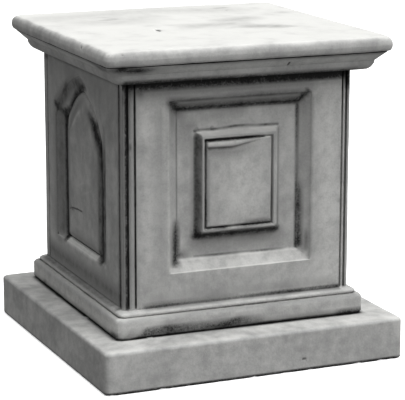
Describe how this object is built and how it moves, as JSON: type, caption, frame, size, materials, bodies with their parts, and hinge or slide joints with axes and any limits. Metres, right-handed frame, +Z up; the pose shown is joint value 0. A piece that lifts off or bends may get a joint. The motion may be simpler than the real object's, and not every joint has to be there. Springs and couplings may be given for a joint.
{
  "type": "square cast-stone garden pedestal",
  "caption": "Square moulded garden pedestal with panelled sides and an overhanging cap, for standing a planter, urn or statue on.",
  "frame": {"origin": "middle of the flat underside", "axes": "+Z up; the rectangular panels face -Y and +Y, the pointed-arch panels face -X and +X"},
  "size_m": [0.4, 0.4, 0.4081],
  "materials": {
    "cast_stone": "matt, weathered, dark stain in the crevices"
  },
  "bodies": {
    "root": {"pedestal": "cast_stone"}
  },
  "joints": []
}
